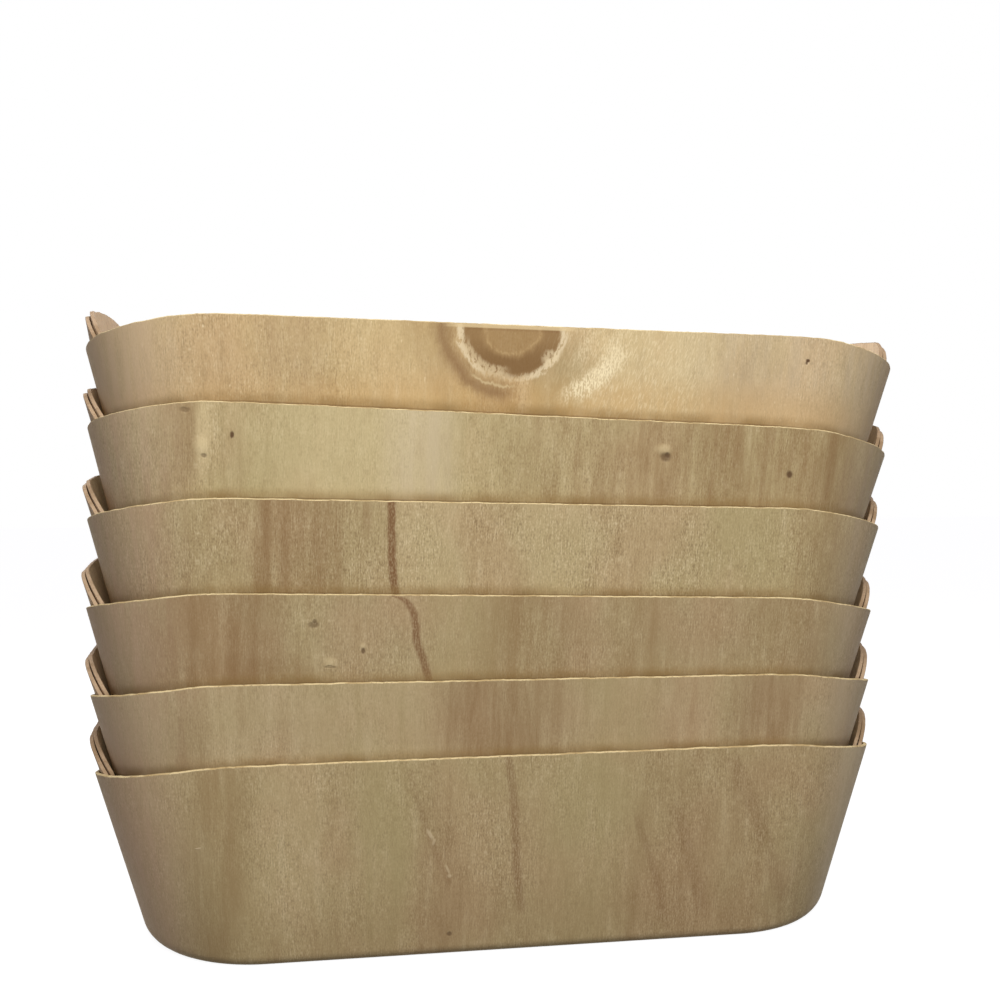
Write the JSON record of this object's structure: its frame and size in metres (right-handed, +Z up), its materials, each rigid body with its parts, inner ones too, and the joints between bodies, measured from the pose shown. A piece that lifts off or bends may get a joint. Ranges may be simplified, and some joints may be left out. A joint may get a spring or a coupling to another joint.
{
  "type": "berry basket",
  "caption": "Nested stack of oblong berry baskets moulded from thin wood veneer, with rounded corners and raised ends; each basket lifts off the one below.",
  "frame": {"origin": "on the ground under the middle of the stack's outline box", "axes": "+X along the baskets to the right-hand end, +Y from the front to the back, +Z up"},
  "size_m": [0.2234, 0.12, 0.1695],
  "materials": {
    "wall_veneer": "bare, dry, fine upright grain",
    "lining_veneer": "bare, dry, lengthwise grain",
    "end_ply_veneer": "bare, dry, upright grain"
  },
  "bodies": {
    "basket1": {"basket1_wall_sheet": "wall_veneer", "basket1_lining_strip": "lining_veneer", "basket1_left_end_ply": "end_ply_veneer", "basket1_right_end_ply": "end_ply_veneer"},
    "basket2": {"basket2_wall_sheet": "wall_veneer", "basket2_lining_strip": "lining_veneer", "basket2_left_end_ply": "end_ply_veneer", "basket2_right_end_ply": "end_ply_veneer"},
    "basket3": {"basket3_wall_sheet": "wall_veneer", "basket3_lining_strip": "lining_veneer", "basket3_left_end_ply": "end_ply_veneer", "basket3_right_end_ply": "end_ply_veneer"},
    "basket4": {"basket4_wall_sheet": "wall_veneer", "basket4_lining_strip": "lining_veneer", "basket4_left_end_ply": "end_ply_veneer", "basket4_right_end_ply": "end_ply_veneer"},
    "basket5": {"basket5_wall_sheet": "wall_veneer", "basket5_lining_strip": "lining_veneer", "basket5_left_end_ply": "end_ply_veneer", "basket5_right_end_ply": "end_ply_veneer"},
    "basket6": {"basket6_wall_sheet": "wall_veneer", "basket6_lining_strip": "lining_veneer", "basket6_left_end_ply": "end_ply_veneer", "basket6_right_end_ply": "end_ply_veneer"}
  },
  "joints": [
    {"name": "basket2_lift", "type": "slide", "parent": "basket1", "child": "basket2", "axis": [0, 0, 1], "range_m": [0, 0.05]},
    {"name": "basket3_lift", "type": "slide", "parent": "basket2", "child": "basket3", "axis": [0, 0, 1], "range_m": [0, 0.05]},
    {"name": "basket4_lift", "type": "slide", "parent": "basket3", "child": "basket4", "axis": [0, 0, 1], "range_m": [0, 0.05]},
    {"name": "basket5_lift", "type": "slide", "parent": "basket4", "child": "basket5", "axis": [0, 0, 1], "range_m": [0, 0.05]},
    {"name": "basket6_lift", "type": "slide", "parent": "basket5", "child": "basket6", "axis": [0, 0, 1], "range_m": [0, 0.05]}
  ]
}
